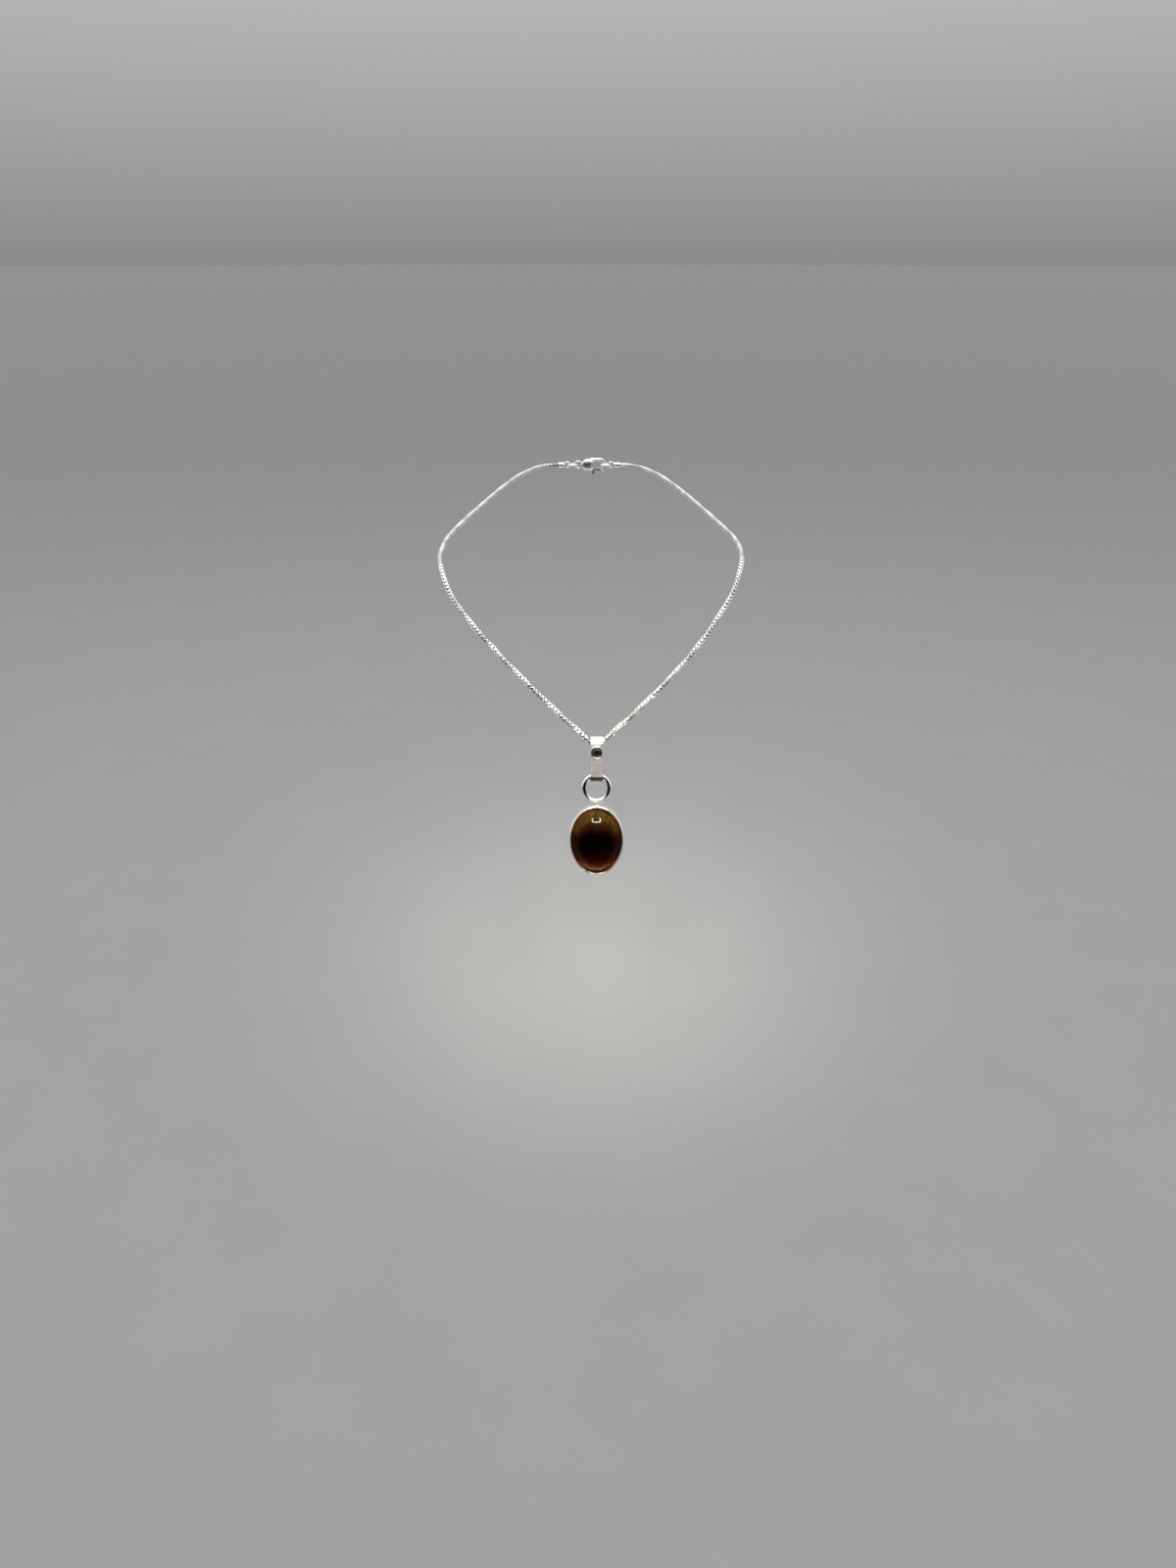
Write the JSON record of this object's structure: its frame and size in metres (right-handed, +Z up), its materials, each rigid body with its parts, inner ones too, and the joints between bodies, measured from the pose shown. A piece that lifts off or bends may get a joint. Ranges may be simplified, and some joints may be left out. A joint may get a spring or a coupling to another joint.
{
  "type": "pendant necklace",
  "caption": "Silver pendant necklace: an oval domed amber stone in a bezel, hung by a ring and a folded strap bail with a small round accent stone on a box chain closed by a lobster clasp.",
  "frame": {"origin": "middle of the neck opening, level with the top of the shoulders", "axes": "+X towards the wearer's left, +Y towards the nape, +Z up out of the neck opening"},
  "size_m": [0.099, 0.158, 0.1008],
  "materials": {
    "polished_silver": "polished silver with fine handling scratches",
    "chain_silver": "bright silver box links, darker between the links",
    "spring_steel": "drawn spring wire",
    "amber_stone": "polished translucent brown-orange stone",
    "smoky_stone": "polished dark faceted stone"
  },
  "bodies": {
    "chain": {"chain": "chain_silver", "chain_end_cap_carrying": "polished_silver", "chain_end_cap_receiving": "polished_silver"},
    "jump_ring_carrying": {"jump_ring_carrying": "polished_silver"},
    "clasp": {"clasp_body": "polished_silver", "clasp_rivet": "polished_silver", "lever_spring": "spring_steel"},
    "clasp_lever": {"clasp_lever": "polished_silver"},
    "jump_ring_receiving": {"jump_ring_receiving": "polished_silver"},
    "bail": {"bail_strap": "polished_silver", "accent_setting": "polished_silver", "accent_stone": "smoky_stone"},
    "pendant": {"pendant_ring": "polished_silver", "solder_joint": "polished_silver", "bezel_wall": "polished_silver", "bezel_bearing": "polished_silver", "bezel_back_plate": "polished_silver", "cabochon_stone": "amber_stone"}
  },
  "joints": [
    {"name": "bail_swing", "type": "hinge", "parent": "chain", "child": "bail", "pos_m": [0.002, -0.08535, -0.0454], "axis": [1, 0, 0], "range_deg": [-90, 90]},
    {"name": "pendant_swing", "type": "hinge", "parent": "bail", "child": "pendant", "pos_m": [0.002, -0.08773, -0.05493], "axis": [1, 0, 0], "range_deg": [-140, 140]},
    {"name": "carrying_ring_swing", "type": "hinge", "parent": "chain", "child": "jump_ring_carrying", "pos_m": [-0.00843, 0.0585, 0.0128], "axis": [0, 1, 0], "range_deg": [-1, 1]},
    {"name": "clasp_swing", "type": "hinge", "parent": "jump_ring_carrying", "child": "clasp", "pos_m": [-0.00493, 0.0585, 0.0128], "axis": [0, 1, 0], "range_deg": [-1, 1]},
    {"name": "receiving_ring_swing", "type": "hinge", "parent": "chain", "child": "jump_ring_receiving", "pos_m": [0.00803, 0.0585, 0.0128], "axis": [0, 1, 0], "range_deg": [-2, 2]},
    {"name": "clasp_lever_press", "type": "hinge", "parent": "clasp", "child": "clasp_lever", "pos_m": [-0.00032, 0.0585, 0.0117], "axis": [0, 1, 0], "range_deg": [-8, 0], "stiffness_Nm_per_rad": 0.0004, "springref_deg": 20.05}
  ]
}
